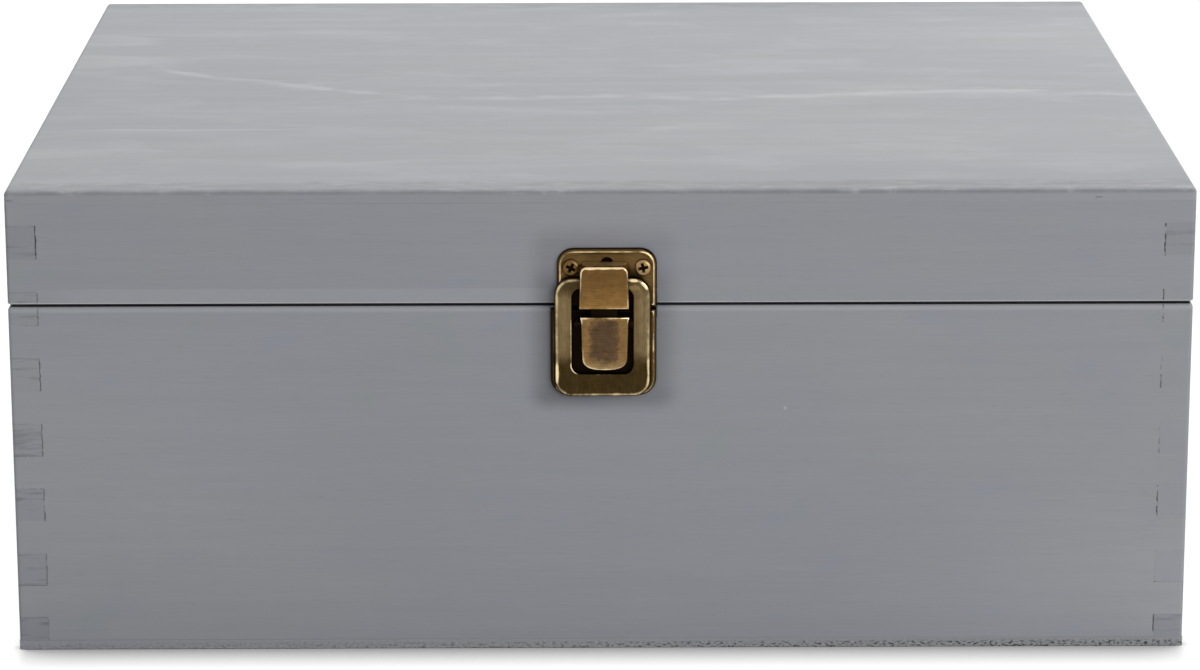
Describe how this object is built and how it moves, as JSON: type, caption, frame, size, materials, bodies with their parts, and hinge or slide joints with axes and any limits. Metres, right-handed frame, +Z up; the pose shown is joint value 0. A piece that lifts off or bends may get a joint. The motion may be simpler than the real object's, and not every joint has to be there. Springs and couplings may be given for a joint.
{
  "type": "keepsake box",
  "caption": "Rectangular finger-jointed wooden keepsake box with a hinged lid, thin top and bottom panels and a sprung metal latch that holds the lid shut.",
  "frame": {"origin": "middle of the flat underside, between the outer faces of the walls", "axes": "+X to the right along the front, +Y to the back where the hinges are, +Z up"},
  "size_m": [0.356, 0.3156, 0.144],
  "materials": {
    "stained_wood": "cool grey stain, satin, fine grain showing",
    "stained_panel": "cool grey stain, satin, streaky grain",
    "antique_brass": "brushed, darkened in the hollows",
    "spring_steel": "bright"
  },
  "bodies": {
    "base": {"base_front_wall": "stained_wood", "base_back_wall": "stained_wood", "base_left_wall": "stained_wood", "base_right_wall": "stained_wood", "base_bottom_panel": "stained_panel", "left_hinge_base_leaf": "antique_brass", "right_hinge_base_leaf": "antique_brass", "left_hinge_pin": "antique_brass", "right_hinge_pin": "antique_brass", "hinge_base_screws": "antique_brass", "catch_plate": "antique_brass", "catch_screws": "antique_brass", "latch_frame": "antique_brass", "latch_pin": "antique_brass", "latch_spring": "spring_steel"},
    "lid": {"lid_front_wall": "stained_wood", "lid_back_wall": "stained_wood", "lid_left_wall": "stained_wood", "lid_right_wall": "stained_wood", "lid_top_panel": "stained_panel", "left_hinge_lid_leaf": "antique_brass", "right_hinge_lid_leaf": "antique_brass", "hinge_lid_screws": "antique_brass", "strike_plate": "antique_brass", "strike_tongue": "antique_brass", "strike_screws": "antique_brass"},
    "lever": {"latch_lever": "antique_brass"}
  },
  "joints": [
    {"name": "lid_hinge", "type": "hinge", "parent": "base", "child": "lid", "pos_m": [0, 0.1547, 0.1086], "axis": [-1, 0, 0], "range_deg": [0, 180]},
    {"name": "lever_pivot", "type": "hinge", "parent": "base", "child": "lever", "pos_m": [0.0009, -0.1562, 0.1036], "axis": [-1, 0, 0], "range_deg": [0, 20], "stiffness_Nm_per_rad": 0.05, "springref_deg": -17.19, "deforming": ["latch_spring"]}
  ]
}
